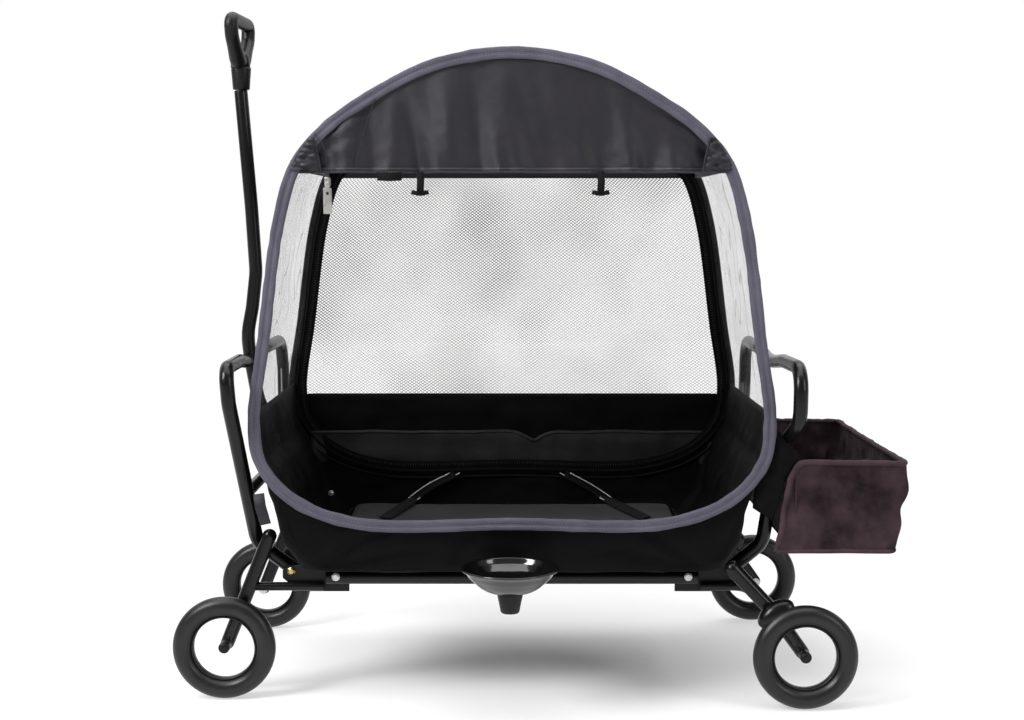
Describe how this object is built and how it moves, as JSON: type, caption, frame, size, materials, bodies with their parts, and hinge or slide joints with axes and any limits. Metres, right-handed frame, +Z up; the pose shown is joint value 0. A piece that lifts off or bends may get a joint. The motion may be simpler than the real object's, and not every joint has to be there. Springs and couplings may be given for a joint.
{
  "type": "pet stroller",
  "caption": "Folding pet wagon with a pull pole, fabric tub, pop-up mesh tent with a side doorway, rear basket and feeding bowl.",
  "frame": {"origin": "on the floor under the middle of the whole object's box", "axes": "+X to the rear (basket) end, -X to the pole end, -Y to the open doorway side, +Z up"},
  "size_m": [1.152, 0.6896, 1.101],
  "materials": {
    "frame_steel": "satin black powder coat",
    "moulded": "fine-grained black moulding",
    "rubber": "foam tyre, satin charcoal",
    "clear_disc": "clear moulded wheel disc",
    "bright_steel": "zinc plate",
    "brass": "yellow zinc plate",
    "grey_cloth": "grey oxford cloth",
    "binding": "grey bias binding over a spring hoop",
    "black_cloth": "black oxford cloth",
    "netting": "open black netting",
    "brown_cloth": "brown-charcoal cloth",
    "gloss_black": "glossy black bowl"
  },
  "bodies": {
    "base": {"leg_front_near": "frame_steel", "axle_front_near": "bright_steel", "corner_bracket_front_near": "moulded", "pivot_bolt_front_near": "brass", "rail_bolt_front_near": "bright_steel", "leg_front_far": "frame_steel", "axle_front_far": "bright_steel", "corner_bracket_front_far": "moulded", "pivot_bolt_front_far": "brass", "rail_bolt_front_far": "bright_steel", "leg_rear_near": "frame_steel", "axle_rear_near": "bright_steel", "corner_bracket_rear_near": "moulded", "pivot_bolt_rear_near": "brass", "rail_bolt_rear_near": "bright_steel", "leg_rear_far": "frame_steel", "axle_rear_far": "bright_steel", "corner_bracket_rear_far": "moulded", "pivot_bolt_rear_far": "brass", "rail_bolt_rear_far": "bright_steel", "rail_near": "frame_steel", "rail_far": "frame_steel", "cross_tube_front": "frame_steel", "mesh_front": "netting", "cross_tube_rear": "frame_steel", "mesh_rear": "netting", "tub_shell": "black_cloth", "floor_board": "moulded", "floor_mat": "black_cloth", "near_hoop": "binding", "far_zip_frame": "black_cloth", "far_mesh": "netting", "visor": "grey_cloth", "roof": "grey_cloth", "zip_pull": "bright_steel", "bowl": "gloss_black", "bowl_bracket": "moulded"},
    "front_end": {"front_frame_near": "frame_steel", "front_frame_far": "frame_steel", "front_frame_low_tube": "frame_steel", "pole": "frame_steel", "grip_collar": "moulded", "d_grip": "moulded"},
    "rear_end": {"rear_frame": "frame_steel", "basket": "brown_cloth"},
    "wheel_front_near": {"tyre_front_near": "rubber", "wheel_disc_front_near": "clear_disc", "hub_front_near": "moulded"},
    "wheel_front_far": {"tyre_front_far": "rubber", "wheel_disc_front_far": "clear_disc", "hub_front_far": "moulded"},
    "wheel_rear_near": {"tyre_rear_near": "rubber", "wheel_disc_rear_near": "clear_disc", "hub_rear_near": "moulded"},
    "wheel_rear_far": {"tyre_rear_far": "rubber", "wheel_disc_rear_far": "clear_disc", "hub_rear_far": "moulded"},
    "brake_pedal_near": {"brake_near": "moulded"},
    "brake_pedal_far": {"brake_far": "moulded"}
  },
  "joints": [
    {"name": "front_fold", "type": "hinge", "parent": "base", "child": "front_end", "pos_m": [-0.391, 0.04868, 0.197], "axis": [0, 1, 0], "range_deg": [0, 90], "deforming": ["tub_shell", "floor_mat", "near_hoop", "far_zip_frame", "far_mesh", "visor", "roof", "mesh_front", "mesh_rear", "zip_pull", "basket"]},
    {"name": "rear_fold", "type": "hinge", "parent": "base", "child": "rear_end", "pos_m": [0.319, 0.04868, 0.197], "axis": [0, -1, 0], "range_deg": [0, 96]},
    {"name": "wheel_front_near_spin", "type": "hinge", "parent": "base", "child": "wheel_front_near", "pos_m": [-0.494, -0.16632, 0.082], "axis": [0, 1, 0], "continuous": true},
    {"name": "wheel_front_far_spin", "type": "hinge", "parent": "base", "child": "wheel_front_far", "pos_m": [-0.494, 0.26368, 0.082], "axis": [0, 1, 0], "continuous": true},
    {"name": "wheel_rear_near_spin", "type": "hinge", "parent": "base", "child": "wheel_rear_near", "pos_m": [0.421, -0.22232, 0.082], "axis": [0, 1, 0], "continuous": true},
    {"name": "wheel_rear_far_spin", "type": "hinge", "parent": "base", "child": "wheel_rear_far", "pos_m": [0.421, 0.31968, 0.082], "axis": [0, 1, 0], "continuous": true},
    {"name": "brake_near_press", "type": "hinge", "parent": "base", "child": "brake_pedal_near", "pos_m": [0.3584, -0.22232, 0.1749], "axis": [0, 1, 0], "range_deg": [0, 4]},
    {"name": "brake_far_press", "type": "hinge", "parent": "base", "child": "brake_pedal_far", "pos_m": [0.3584, 0.31968, 0.1749], "axis": [0, 1, 0], "range_deg": [0, 4]}
  ],
  "couplings": [
    {"joint": "rear_fold", "follows": "front_fold", "ratio": 1.0666}
  ]
}
